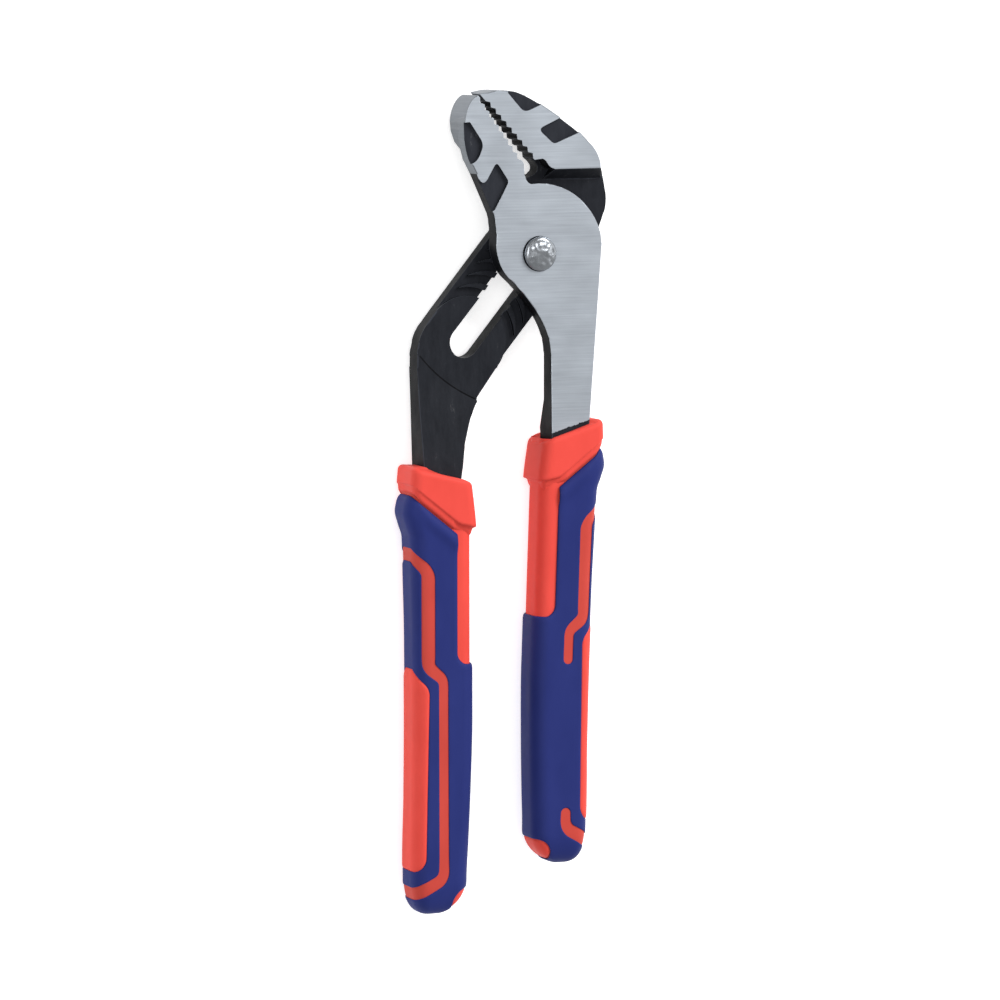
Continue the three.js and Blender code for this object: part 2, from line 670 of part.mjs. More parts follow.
function aboveCollarFoot(grip, margin) {
  const foot = COLLAR_FOOT.map(([e, t]) => [e, t + margin]);
  return through(gripShape(grip, [[foot[0][0], -REACH], ...foot, [foot.at(-1)[0], -REACH]]));
}

const COLLAR_TOP = [10.2, -9.2];
const COLLAR_FOOT_CORNERS = [[-11.1, 22], [-4.6, 20.5], [10.7, 8.2]];

function collar(grip) {
  const [outer, inner] = COLLAR_TOP;
  const outline = [[outer, 0], [inner, grip.fall], ...COLLAR_FOOT_CORNERS];
  return roundedSlab(gripShape(grip, outline), COLLAR_HALF_THICKNESS, COLLAR_ROUNDING);
}

function gripCore(grip, socket) {
  const shown = -FIT_GAP;
  const whole = joined(
    cut(gripBody(grip, SHELL_THICKNESS + FIT_GAP), aboveCollarFoot(grip, -CORE_IN_COLLAR)),
    collar(grip),
    loopLine(grip, FIT_GAP).intersect(gripBody(grip, LINE_DEPTH)),
    stripField(grip, shown).intersect(gripBody(grip, STRIP_DEPTH)),
    padField(grip, shown).intersect(gripBody(grip, -PAD_HEIGHT)),
    toeField(grip, shown).intersect(gripBody(grip, TOE_DEPTH)),
  );
  const toGrip = gripMatrix(grip).invert();
  const shank = solidOf(geometryOf(socket).applyMatrix4(toGrip));
  return cut(whole, shank, solidOf(tangGeometry(FIT_GAP)));
}

// The soft moulding: a skin over the core that leaves the strip, the loop line, the pad and the toe bare.
function gripSkin(grip) {
  return cut(
    gripBody(grip, 0),
    gripBody(grip, SHELL_THICKNESS),
    aboveCollarFoot(grip, FIT_GAP),
    stripField(grip, 0),
    loopLine(grip, 0),
    padField(grip, 0),
    toeField(grip, 0),
  );
}

// The scene graph.

function part(name, solid, color, roughness, metalness) {
  const material = new THREE.MeshStandardMaterial({ color, roughness, metalness });
  const mesh = new THREE.Mesh(geometryOf(solid), material);
  mesh.name = name;
  return mesh;
}

const STEEL = 0xb4bcc6;
const DARK_STEEL = 0x3a3c40;
const ZINC = 0xc2c4c6;
const RED = 0xf05548;
const BLUE = 0x2d377d;

// Where no panel joins them, the loop line parts the skin into a shell and an island.
function gripGroup(prefix, grip, socket) {
  const group = new THREE.Group();
  group.position.set(grip.x, grip.y, 0);
  group.rotation.z = degrees(grip.lean);
  group.add(part(`${prefix}_grip_core`, gripCore(grip, socket), RED, 0.55, 0));
  const skin = gripSkin(grip);
  const inLoop = loopField(grip, LOOP_INSIDE, FUSE);
  const shell = grip.panel ? skin : cut(skin, inLoop);
  group.add(part(`${prefix}_grip_shell`, shell, BLUE, 0.6, 0));
  if (!grip.panel) {
    group.add(part(`${prefix}_grip_island`, skin.intersect(inLoop), BLUE, 0.6, 0));
  }
  return group;
}

const frontSocket = shankSocket(
  RIGHT_GRIP, FRONT_SHANK_LEFT, FRONT_SHANK_RIGHT, -FRONT_SHANK_BACK_DEPTH, JAW_HALF_THICKNESS,
);
const rearSocket = shankSocket(
  LEFT_GRIP, REAR_SHANK_LEFT, REAR_SHANK_RIGHT, -JAW_HALF_THICKNESS, REAR_SHANK_FRONT_HEIGHT,
);

const pliers = new THREE.Group();
pliers.add(
  part('pivot_handle', pivotHandle(), STEEL, 0.35, 1),
  part('slotted_handle', slottedHandle(), DARK_STEEL, 0.5, 0.9),
  part('pivot_bolt', pivotBolt(), ZINC, 0.25, 1),
  part('guide_bush', guideBush(), ZINC, 0.4, 1),
  part('rear_washer', rearWasher(), ZINC, 0.35, 1),
  part('pivot_nut', pivotNut(), ZINC, 0.35, 1),
  gripGroup('right', RIGHT_GRIP, frontSocket),
  gripGroup('left', LEFT_GRIP, rearSocket),
);

// Stand it on the middle of the underside of its box, to the nearest tenth of a millimetre.
const box = new THREE.Box3().setFromObject(pliers, true);
const middle = box.getCenter(new THREE.Vector3());
const tenth = (value) => Math.round(value * 10) / 10;
pliers.position.set(-tenth(middle.x), -tenth(middle.y), -box.min.z);

export default pliers;
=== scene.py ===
# %% [markdown]
# # Water pump pliers
# A pair of groove-joint pliers: two steel forgings that cross at a bolt, with a two-colour moulded grip
# on each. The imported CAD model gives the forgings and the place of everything. This lesson dresses it:
# it rounds the edges of the forgings, grinds their faces bright, turns a bolt head and models the grips
# with their raised and sunken fields.

# %% Load the frame
import json
import math

import bmesh
import bpy
import numpy as np
from mathutils import Matrix, Vector, noise


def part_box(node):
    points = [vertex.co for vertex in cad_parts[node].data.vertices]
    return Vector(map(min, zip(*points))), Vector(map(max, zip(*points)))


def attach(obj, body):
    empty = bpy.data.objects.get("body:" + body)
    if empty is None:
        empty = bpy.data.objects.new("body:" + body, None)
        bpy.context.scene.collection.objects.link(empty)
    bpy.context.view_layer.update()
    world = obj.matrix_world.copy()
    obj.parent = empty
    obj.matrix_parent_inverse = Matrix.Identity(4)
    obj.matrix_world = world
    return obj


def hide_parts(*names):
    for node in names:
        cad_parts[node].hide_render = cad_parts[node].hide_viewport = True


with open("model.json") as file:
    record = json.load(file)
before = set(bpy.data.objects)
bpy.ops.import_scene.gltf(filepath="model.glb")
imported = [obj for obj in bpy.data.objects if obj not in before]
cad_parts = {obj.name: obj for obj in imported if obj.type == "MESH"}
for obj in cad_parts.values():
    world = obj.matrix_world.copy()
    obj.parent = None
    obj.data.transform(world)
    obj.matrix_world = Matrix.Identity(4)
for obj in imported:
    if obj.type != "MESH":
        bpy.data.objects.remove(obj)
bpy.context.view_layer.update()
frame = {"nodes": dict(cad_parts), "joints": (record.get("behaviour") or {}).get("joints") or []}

# %% [markdown]
# The drawing's frame is centred on the bolt, in millimetres, with z = 0 where the two forgings meet.
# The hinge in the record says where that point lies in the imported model, so every number below can be a
# drawing size.

# %% The drawing's frame
MM = 0.001
PIVOT = Vector(next(j for j in frame["joints"] if j["name"] == "jaw_pivot")["pos_m"])


def drawn(co):
    """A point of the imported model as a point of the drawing, in millimetres."""
    return (co - PIVOT) / MM


# %% [markdown]
# Every piece ends the same way: its bmesh becomes a smooth object that says which body carries it and has
# its materials, and the CAD nodes it stands for are hidden. A piece with small bevels also gets weighted
# normals, so that its large faces look flat and only the bevels look round.

# %% Finishing a piece
LARGE_FACE_WEIGHT = 60


def finish_piece(name, bm, materials, body, nodes):
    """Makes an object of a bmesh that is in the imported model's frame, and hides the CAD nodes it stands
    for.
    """
    mesh = bpy.data.meshes.new(name)
    bm.to_mesh(mesh)
    bm.free()
    mesh.polygons.foreach_set("use_smooth", [True] * len(mesh.polygons))
    for material in materials:
        mesh.materials.append(material)
    piece = bpy.data.objects.new(name, mesh)
    bpy.context.scene.collection.objects.link(piece)
    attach(piece, body)
    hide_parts(*nodes)
    print(name, len(mesh.vertices), "vertices", len(mesh.polygons), "faces")
    return piece


def flatten_faces(piece):
    """Lets the large faces of a bevelled piece rule its normals, so that they look flat."""
    weighted = piece.modifiers.new("weighted", "WEIGHTED_NORMAL")
    weighted.keep_sharp = False
    weighted.weight = LARGE_FACE_WEIGHT


# %% [markdown]
# A material starts as a Principled shader. Patterns read Object coordinates, which are metres here, so
# a noise scale of 1000 has features of about a millimetre. A few helpers keep the node trees short:
# they add a noise that can be stretched, spread it over a range of values or colours, or lay it on the
# shader as a bump.

# %% Material helpers
def new_material(name, color, roughness, metallic, specular=0.5):
    material = bpy.data.materials.new(name)
    material.use_nodes = True
    shader = material.node_tree.nodes["Principled BSDF"]
    shader.inputs["Base Color"].default_value = (*color, 1.0)
    shader.inputs["Roughness"].default_value = roughness
    shader.inputs["Metallic"].default_value = metallic
    shader.inputs["Specular IOR Level"].default_value = specular
    return material, shader


def add_noise(material, stretch, detail=4.0, roughness=0.5):
    nodes, links = material.node_tree.nodes, material.node_tree.links
    place = nodes.new("ShaderNodeTexCoord")
    mapping = nodes.new("ShaderNodeMapping")
    mapping.inputs["Scale"].default_value = stretch
    texture = nodes.new("ShaderNodeTexNoise")
    texture.inputs["Scale"].default_value = 1.0
    texture.inputs["Detail"].default_value = detail
    texture.inputs["Roughness"].default_value = roughness
    links.new(place.outputs["Object"], mapping.inputs["Vector"])
    links.new(mapping.outputs["Vector"], texture.inputs["Vector"])
    return texture.outputs["Fac"]


def add_range(material, fac, low, high, fac_low=0.3, fac_high=0.7):
    node = material.node_tree.nodes.new("ShaderNodeMapRange")
    material.node_tree.links.new(fac, node.inputs["Value"])
    node.inputs["From Min"].default_value = fac_low
    node.inputs["From Max"].default_value = fac_high
    node.inputs["To Min"].default_value = low
    node.inputs["To Max"].default_value = high
    return node.outputs["Result"]


def add_ramp(material, fac, stops):
    node = material.node_tree.nodes.new("ShaderNodeValToRGB")
    ramp = node.color_ramp
    while len(ramp.elements) < len(stops):
        ramp.elements.new(0.5)
    for element, (position, color) in zip(ramp.elements, stops):
        element.position = position
        element.color = (*color, 1.0)
    material.node_tree.links.new(fac, node.inputs["Fac"])
    return node.outputs["Color"]


def add_bump(material, shader, height, distance, strength=1.0, under=None):
    node = material.node_tree.nodes.new("ShaderNodeBump")
    node.inputs["Strength"].default_value = strength
    node.inputs["Distance"].default_value = distance
    material.node_tree.links.new(height, node.inputs["Height"])
    if under is not None:
        material.node_tree.links.new(under, node.inputs["Normal"])
    material.node_tree.links.new(node.outputs["Normal"], shader.inputs["Normal"])
    return node.outputs["Normal"]


def toned(colors, tone):
    """Colours that are all made lighter or darker by one factor."""
    return [tuple(tone * c for c in color) for color in colors]


# %% [markdown]
# The faces are ground on a belt, which leaves fine lines across the tool. A noise that is stretched
# along X gives those lines: it moves the colour a little and makes a very shallow bump. A second,
# cloudy noise varies the roughness.

# %% Ground steel
BELT_LINES = (45.0, 1900.0, 45.0)
BELT_CLOUDS = (90.0, 140.0, 90.0)
BELT_TONES = ((0.46, 0.5, 0.55), (0.56, 0.605, 0.66))
BELT_GLOSS = 0.03
BELT_DEPTH = 0.02


def ground_steel(name, tone, roughness):
    material, shader = new_material(name, (0.48, 0.525, 0.58), roughness, 1.0)
    lines = add_noise(material, BELT_LINES, detail=5.0, roughness=0.62)
    clouds = add_noise(material, BELT_CLOUDS, detail=2.0)
    low, high = toned(BELT_TONES, tone)
    color = add_ramp(material, lines, [(0.3, low), (0.72, high)])
    material.node_tree.links.new(color, shader.inputs["Base Color"])
    gloss = add_range(material, clouds, roughness - BELT_GLOSS, roughness + BELT_GLOSS)
    material.node_tree.links.new(gloss, shader.inputs["Roughness"])
    add_bump(material, shader, lines, BELT_DEPTH * MM)
    return material


# %% [markdown]
# Everywhere else the forging keeps its dark scale: nearly black, a little uneven, with a fine grain and
# a few pale scuffs. The scuffs are a noise of which only the highest peaks are kept.

# %% Dark forging
SCALE_GRAIN = (1500.0, 1500.0, 1500.0)
SCALE_PATCHES = (160.0, 110.0, 160.0)
SCALE_SCUFFS = (330.0, 90.0, 330.0)
SCALE_TONES = ((0.0095, 0.0105, 0.0135), (0.0175, 0.019, 0.0235), (0.085, 0.087, 0.09))
SCALE_GLOSS = (0.38, 0.54)
PATCH_DEPTH = 0.12
GRAIN_DEPTH = 0.05


def dark_forging(name, tone):
    material, shader = new_material(name, (0.012, 0.013, 0.016), 0.5, 0.0, specular=0.05)
    grain = add_noise(material, SCALE_GRAIN, detail=6.0, roughness=0.65)
    patches = add_noise(material, SCALE_PATCHES, detail=3.0)
    scuffs = add_noise(material, SCALE_SCUFFS, detail=8.0, roughness=0.75)
    dark, usual, pale = toned(SCALE_TONES, tone)
    color = add_ramp(material, scuffs, [(0.25, dark), (0.62, usual), (0.75, pale)])
    material.node_tree.links.new(color, shader.inputs["Base Color"])
    material.node_tree.links.new(add_range(material, patches, *SCALE_GLOSS), shader.inputs["Roughness"])
    rolled = add_bump(material, shader, patches, PATCH_DEPTH * MM, 0.5)
    add_bump(material, shader, grain, GRAIN_DEPTH * MM, 0.8, under=rolled)
    return material


# %% [markdown]
# The bolt and what rides on it are bright zinc. The plating reflects unevenly because the head was
# hammered over a little, so its bump has features of a few millimetres.

# %% Zinc
ZINC_DENTS = (340.0, 340.0, 340.0)
ZINC_GLOSS = (0.2, 0.38)
ZINC_DEPTH = 0.26


def zinc_plate():
    material, shader = new_material("zinc_plate", (0.33, 0.35, 0.375), 0.25, 1.0)
    dents = add_noise(material, ZINC_DENTS, detail=2.0, roughness=0.5)
    material.node_tree.links.new(add_range(material, dents, *ZINC_GLOSS), shader.inputs["Roughness"])
    add_bump(material, shader, dents, ZINC_DEPTH * MM, 0.6)
    return material


# %% [markdown]
# The grips are moulded in two shots: a firm red plastic first, then a softer dark blue one over it.
# Both have the fine grain of an eroded mould, and slow changes of gloss where hands and packing have
# rubbed them.

# %% Mouldings
MOULD_GRAIN = (2600.0, 2600.0, 2600.0)
MOULD_RUBBED = (120.0, 60.0, 120.0)
MOULD_GLOSS = 0.06


def moulding(name, color, dark, roughness, grain_depth):
    material, shader = new_material(name, color, roughness, 0.0, specular=0.08)
    grain = add_noise(material, MOULD_GRAIN, detail=3.0)
    rubbed = add_noise(material, MOULD_RUBBED, detail=3.0)
    tone = add_ramp(material, rubbed, [(0.3, dark), (0.7, color)])
    material.node_tree.links.new(tone, shader.inputs["Base Color"])
    gloss = add_range(material, rubbed, roughness - MOULD_GLOSS, roughness + MOULD_GLOSS)
    material.node_tree.links.new(gloss, shader.inputs["Roughness"])
    add_bump(material, shader, grain, grain_depth * MM, 0.6)
    return material


# %% [markdown]
# The first number of a steel is how light it is. The hollows of the scale are paler than its faces. Its
# edges are paler too, partly from wear and partly as a painted highlight, and the upright walls are
# darker, which is painted shade. The loop line on the grips is a deeper red than the rest of the core,
# which is painted shade of its recess beside the blue.

# %% Materials
STEEL = ground_steel("ground_steel", 1.05, 0.37)
NOSE = ground_steel("coarse_ground_steel", 0.36, 0.55)
DARK = dark_forging("dark_forging", 1.18)
HOLLOW = dark_forging("dark_hollow", 1.7)
# Bevels of the scale: paler, partly wear and partly painted highlight.
WORN_AND_HIGHLIT = dark_forging("worn_and_highlit_edge", 2.6)
# Upright walls: the same scale made darker, as painted shade.
SHADED_WALL = dark_forging("painted_shade_wall", 0.4)
# Near-black scale used as painted shade: under the bolt head and along the step.
PAINTED_SHADE = dark_forging("painted_shade", 0.3)
ZINC = zinc_plate()
RED = moulding("red_plastic", (0.78, 0.077, 0.059), (0.72, 0.068, 0.051), 0.5, 0.02)
# Deeper red for the loop line: painted shade of its recess beside the blue.
LINE_SHADE_RED = moulding("line_red_painted_shade", (0.57, 0.066, 0.05), (0.51, 0.058, 0.043), 0.5, 0.02)
BLUE = moulding("blue_rubber", (0.0215, 0.0315, 0.163), (0.0185, 0.0275, 0.146), 0.52, 0.03)
FORGING_MATERIALS = [STEEL, NOSE, DARK, HOLLOW, WORN_AND_HIGHLIT, SHADED_WALL]
print("materials", [m.name for m in (*FORGING_MATERIALS, PAINTED_SHADE, ZINC, RED, LINE_SHADE_RED, BLUE)])

# %% [markdown]
# The CAD forgings are right in shape, but a real edge is never perfectly sharp. A copy of the CAD mesh
# is merged (it comes as loose triangles), its flat triangles are dissolved into whole faces, and most
# sharp edges get a small bevel. The rear forging and the small hardware are first cut through the
# bolt's axis, along the slot, so that no face has the slot or the bolt's hole as a hole in it.

# %% Rounded copies of CAD nodes
SLOT_ANGLE = math.radians(50.2)
ACROSS_SLOT = Vector((math.sin(SLOT_ANGLE), -math.cos(SLOT_ANGLE), 0.0))
SAME_POINT = 0.002
FLAT_WITHIN = 0.4
SHARP_FROM = 28.0


def cut_plane(bm, at, normal):
    """Cuts all faces of a bmesh along a plane and returns the edges of the cut."""
    everything = bm.verts[:] + bm.edges[:] + bm.faces[:]
    cut = bmesh.ops.bisect_plane(
        bm,
        geom=everything,
        dist=SAME_POINT * MM,
        plane_co=at,
        plane_no=normal,
    )
    return [g for g in cut["geom_cut"] if isinstance(g, bmesh.types.BMEdge)]


def merged_copy(node, along_slot):
    bm = bmesh.new()
    bm.from_mesh(frame["nodes"][node].data)
    bmesh.ops.remove_doubles(bm, verts=bm.verts, dist=SAME_POINT * MM)
    for edge in cut_plane(bm, PIVOT, ACROSS_SLOT) if along_slot else []:
        edge.seam = True
    bmesh.ops.dissolve_limit(
        bm,
        angle_limit=math.radians(FLAT_WITHIN),
        verts=bm.verts,
        edges=bm.edges,
        delimit={"SEAM"},
    )
    return bm


def round_edges(bm, edges, width):
    rounded = bmesh.ops.bevel(
        bm,
        geom=edges,
        offset=width * MM,
        offset_type="ABSOLUTE",
        affect="EDGES",
        segments=2,
        profile=0.5,
        material=-1,
        loop_slide=True,
        clamp_overlap=False,
    )
    bmesh.ops.recalc_face_normals(bm, faces=bm.faces)
    return rounded["faces"]


def sharp_edges(bm):
    limit = math.radians(SHARP_FROM)
    return [e for e in bm.edges if len(e.link_faces) == 2 and e.calc_face_angle() > limit]


# %% [markdown]
# The belt reached the front faces of both jaws, the plate and the right shank, and the outer walls of the
# nose, which are ground more coarsely. The floors of the hollows, the teeth, the other walls and the lap
# stayed dark, and the other walls are painted darkest as shade. A face is told apart by its height and by
# where its normal points.

# %% Which faces are ground
FACE_HEIGHT = 6.0
HOLLOW_FLOOR = 4.8
SAME_HEIGHT = 0.1
LOOKS_UP = 0.9
STANDS_UPRIGHT = 0.3
LOOKS_OUTWARD = 0.35
IS_GROUND, IS_NOSE, IS_DARK, IS_HOLLOW, IS_WORN_AND_HIGHLIT, IS_SHADED_WALL = range(6)


def face_kind(face, outward, wall_from, tip_from):
    """A face's material. Walls are ground at the tips and, above wall_from, where they look outward."""
    centre = drawn(face.calc_center_median())
    lowest = min(drawn(v.co).z for v in face.verts)
    if face.normal.z > LOOKS_UP and centre.z > FACE_HEIGHT - SAME_HEIGHT:
        return IS_GROUND
    if face.normal.z > LOOKS_UP and abs(centre.z - HOLLOW_FLOOR) < SAME_HEIGHT:
        return IS_HOLLOW
    is_wall = abs(face.normal.z) < STANDS_UPRIGHT and lowest < HOLLOW_FLOOR - SAME_HEIGHT
    if is_wall and centre.y > wall_from and face.normal.dot(outward) > LOOKS_OUTWARD:
        return IS_NOSE
    if is_wall:
        # Walls that are not ground get the painted shade material.
        return IS_NOSE if centre.y > tip_from else IS_SHADED_WALL
    return IS_DARK


# %% [markdown]
# Two things are finer than the CAD model: the rounded outer edge of the jaws is as coarse as their
# walls, and the belt stops just short of the right collar, where it leaves a ragged black band. A few
# edges stay sharp: the turned step across the slotted lap, the corners at the mouths of the hollows,
# which are too acute for a bevel, and the ledge behind the left jaw where it starts, narrower than a
# bevel is wide.

# %% Finer edges
STEP_RADIUS = 48.0
STEP_WITHIN = 0.3
STEP_FLOOR = -1.0
LEDGE_HEIGHT = 0.2
LEDGE_WITHIN = 0.05
LEDGE_START = (36.9, 40.1)
RIM_OUTWARD = 0.2
BAND_POINT = Vector((11.2, -52.7, 0.0))
BAND_NORMAL = Vector((-0.285, 0.958, 0.0))
BAND_CUTS = 28
BAND_RAGGED = 0.45
BAND_NOISE = 1.7


def stays_sharp(edge):
    """Whether an edge lies on the step, at the mouth of a hollow or where the ledge starts."""
    ends = [drawn(v.co) for v in edge.verts]
    at_radius = all(abs(at.xy.length - STEP_RADIUS) < STEP_WITHIN for at in ends)
    on_step = at_radius and all(at.y < 0.0 and at.z > STEP_FLOOR for at in ends)
    at_mouth = edge.is_convex and sorted(round(at.z, 1) for at in ends) == [HOLLOW_FLOOR, FACE_HEIGHT]
    low, high = LEDGE_START
    on_ledge = all(low < at.y < high and abs(at.z - LEDGE_HEIGHT) < LEDGE_WITHIN for at in ends)
    return on_step or at_mouth or on_ledge


def rounded_kind(face, outward, wall_from):
    """The material of a bevel's face: dark edges are made pale, partly by wear and partly as a painted
    highlight, and the jaws' outer edges are coarse.
    """
    if face.material_index in (IS_DARK, IS_SHADED_WALL):
        return IS_WORN_AND_HIGHLIT
    on_rim = drawn(face.calc_center_median()).y > wall_from and face.normal.dot(outward) > RIM_OUTWARD
    return IS_NOSE if on_rim and face.material_index == IS_GROUND else face.material_index


def blacken_band(bm):
    """Leaves the ground face dark below a ragged line beside the collar."""
    cut = cut_plane(bm, PIVOT + BAND_POINT * MM, BAND_NORMAL)
    for face in bm.faces:
        below = BAND_NORMAL.dot(drawn(face.calc_center_median()) - BAND_POINT) < 0.0
        if below and face.material_index == IS_GROUND:
            face.material_index = IS_DARK
    border = [e for e in cut if {f.material_index for f in e.link_faces} == {IS_GROUND, IS_DARK}]
    border = [e for e in border if all(f.normal.z > LOOKS_UP for f in e.link_faces)]
    ragged = bmesh.ops.subdivide_edges(bm, edges=border, cuts=BAND_CUTS)["geom_inner"]
    for vert in (g for g in ragged if isinstance(g, bmesh.types.BMVert)):
        vert.co += BAND_NORMAL * (BAND_RAGGED * MM * noise.noise(drawn(vert.co) * BAND_NOISE))


# %% [markdown]
# Now the two forgings. Their faces could be painted after the bevels, but sorting them first is
# simpler: a bevel takes over the material of a face beside it, and only the bevels' own faces are
# sorted again.

# %% Forgings
FORGING_BEVEL = 0.35


def forging(name, node, body, outward, wall_from, tip_from):
    bm = merged_copy(node, along_slot=node == "slotted_handle")
    for face in bm.faces:
        face.material_index = face_kind(face, Vector(outward), wall_from, tip_from)
    if node == "pivot_handle":
        blacken_band(bm)
    for face in round_edges(bm, [e for e in sharp_edges(bm) if not stays_sharp(e)], FORGING_BEVEL):
        face.material_index = rounded_kind(face, Vector(outward), wall_from)
    flatten_faces(finish_piece(name, bm, FORGING_MATERIALS, body, [node]))


forging(
    "front_forging", "pivot_handle", "pivot_side",
    outward=(-0.9, 0.43, 0.0), wall_from=24.5, tip_from=45.5,
)
forging(
    "rear_forging", "slotted_handle", "slotted_side",
    outward=(0.55, 0.84, 0.0), wall_from=28.0, tip_from=46.0,
)

# %% [markdown]
# Behind the tool are the bush that rides in the slot, the washer that bridges it and the nut. The photo
# doesn't show them, so they keep the shapes of the CAD model and only get finer bevels and bright zinc.

# %% Hardware behind the tool
HARDWARE_BEVEL = 0.2
for hardware in ("guide_bush", "rear_washer", "pivot_nut"):
    rounded = merged_copy(hardware, along_slot=True)
    round_edges(rounded, sharp_edges(rounded), HARDWARE_BEVEL)
    name = hardware + "_rounded"
    flatten_faces(finish_piece(name, rounded, [ZINC], "pivot", [hardware]))

# %% [markdown]
# The bolt is turned: half of its outline is a chain of vertices on the axis plane, and spin carries it
# round. Its low side wall and the seat ring below it are black, painted shade of the gap under the head,
# which shows where the head is seen from the side. The dome is then dented with a smooth noise, less at
# the rim, so that it catches the light as unevenly as a head that was hammered over.

# %% Bolt
HEAD_RADIUS = 5.2
HEAD_TOP = 8.3
HEAD_SEAT = 6.2
SEAT_RADIUS = 5.4
SEAT_SUNK = 0.15
SEAT_EDGE = 0.08
NECK_RISE = 0.1
RIM_HEIGHT = 6.9
RIM_DROP = 0.1
RIM_INSET = 0.02
SHANK_RADIUS = 3.5
TAIL_CHAMFER = 0.5
DOME_STEPS = 18
DOME_POWER = 0.75
BOLT_STEPS = 72
DENT_DEPTH = 0.24
DENT_FADE = 1.2
DENT_NOISE = 0.75
DENT_USUAL = 0.5
DENT_FROM = RIM_HEIGHT + 0.1
PAINTED_SHADE_FROM = HEAD_SEAT - 0.2
PAINTED_SHADE_TO = RIM_HEIGHT - 0.05
TURNED_SEAM = 0.001


def bolt_outline():
    """Half of the bolt's outline as (radius, height) points, from its tail up to the top of its dome."""
    end = drawn(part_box("pivot_bolt")[0]).z
    points = [
        (0.0, end),
        (SHANK_RADIUS - TAIL_CHAMFER, end),
        (SHANK_RADIUS, end + TAIL_CHAMFER),
        (SHANK_RADIUS, HEAD_SEAT - SEAT_SUNK),
        (SEAT_RADIUS, HEAD_SEAT - SEAT_SUNK),
        (SEAT_RADIUS, HEAD_SEAT - SEAT_EDGE),
        (HEAD_RADIUS, HEAD_SEAT + NECK_RISE),
        (HEAD_RADIUS, RIM_HEIGHT - RIM_DROP),
        (HEAD_RADIUS - RIM_INSET, RIM_HEIGHT),
    ]
    for step in range(1, DOME_STEPS):
        angle = math.radians(90.0 * step / DOME_STEPS)
        rise = (HEAD_TOP - RIM_HEIGHT) * math.sin(angle)
        points.append((HEAD_RADIUS * math.cos(angle) ** DOME_POWER, RIM_HEIGHT + rise))
    return points + [(0.0, HEAD_TOP)]


def turned(points, steps, start=0.0, sweep=360.0):
    """Turns an outline of (radius, height) points about the bolt's axis, all the way or part of it."""
    bm = bmesh.new()
    along = Vector((math.cos(math.radians(start)), math.sin(math.radians(start)), 0.0))
    places = [along * radius + Vector((0.0, 0.0, height)) for radius, height in points]
    verts = [bm.verts.new(PIVOT + place * MM) for place in places]
    edges = [bm.edges.new(pair) for pair in zip(verts, verts[1:])]
    bmesh.ops.spin(
        bm,
        geom=verts + edges,
        cent=PIVOT,
        axis=(0.0, 0.0, 1.0),
        angle=math.radians(sweep),
        steps=steps,
        use_merge=sweep == 360.0,
    )
    bmesh.ops.remove_doubles(bm, verts=bm.verts, dist=TURNED_SEAM * MM)
    bmesh.ops.recalc_face_normals(bm, faces=bm.faces)
    return bm


bolt = turned(bolt_outline(), BOLT_STEPS)
for vert in bolt.verts:
    at = drawn(vert.co)
    if at.z > DENT_FROM:
        depth = DENT_DEPTH * min(1.0, (HEAD_RADIUS - at.xy.length) / DENT_FADE)
        vert.co.z -= depth * MM * max(0.0, DENT_USUAL + noise.noise(at * DENT_NOISE))
# The low side wall and the seat ring of the head get painted shade.
for face in bolt.faces:
    heights = [drawn(v.co).z for v in face.verts]
    face.material_index = int(min(heights) > PAINTED_SHADE_FROM and max(heights) < PAINTED_SHADE_TO)
finish_piece("domed_bolt", bolt, [ZINC, PAINTED_SHADE], "pivot", ["pivot_bolt"])

# %% [markdown]
# The step that was turned across the slotted lap has a dark line at its foot, which is painted shade of
# the corner. It is a narrow strip of the same scale, darkened, that lies in the corner, turned about the
# bolt's axis from one edge of the forging to the other.

# %% Line at the step
STEP_LINE = [(47.45, 0.005), (47.7, 0.03), (47.97, 0.03)]
STEP_LINE_STEPS = 40
STEP_LINE_START = 219.4
STEP_LINE_SWEEP = 27.7
# A thin dark strip of painted shade in the step's corner.
step_shade_strip = turned(STEP_LINE, STEP_LINE_STEPS, start=STEP_LINE_START, sweep=STEP_LINE_SWEEP)
finish_piece("step_shade_strip", step_shade_strip, [PAINTED_SHADE], "slotted_side", ["slotted_handle"])

# %% [markdown]
# A grip is drawn in its own frame: e runs from its axis to the outer side of the tool, t down the
# handle from the top of the collar, z up. The two edges of the body are tables of t and e, joined by a
# smooth curve. Both grips share them: the left one is mirrored, and the right one leans a little. Fall
# is how far the collar's top slopes down, and panel says whether the front has a plain panel.

# %% Grip frame and edges
GRIPS = {
    "right": {
        "x": 11.2, "y": -50.7, "lean": -2.0, "side": 1.0,
        "fall": 6.4, "body": "pivot_side", "panel": True,
    },
    "left": {
        "x": -31.6, "y": -63.4, "lean": 0.0, "side": -1.0,
        "fall": 4.8, "body": "slotted_side", "panel": False,
    },
}
OUTER_EDGE = [
    (0, 10.4), (4, 10.5), (8.2, 10.7), (11, 11.6), (14, 12.1), (17.6, 11.2), (22, 9.9),
    (34, 9.6), (52, 9.2), (76, 9.1), (100, 9.3), (120, 9.8), (127, 9.85), (140, 9.85),
]
INNER_EDGE = [(0, -10.4), (60, -10.4), (76, -10.4), (98, -9.8), (115, -9.0), (127, -8.4), (140, -8.4)]


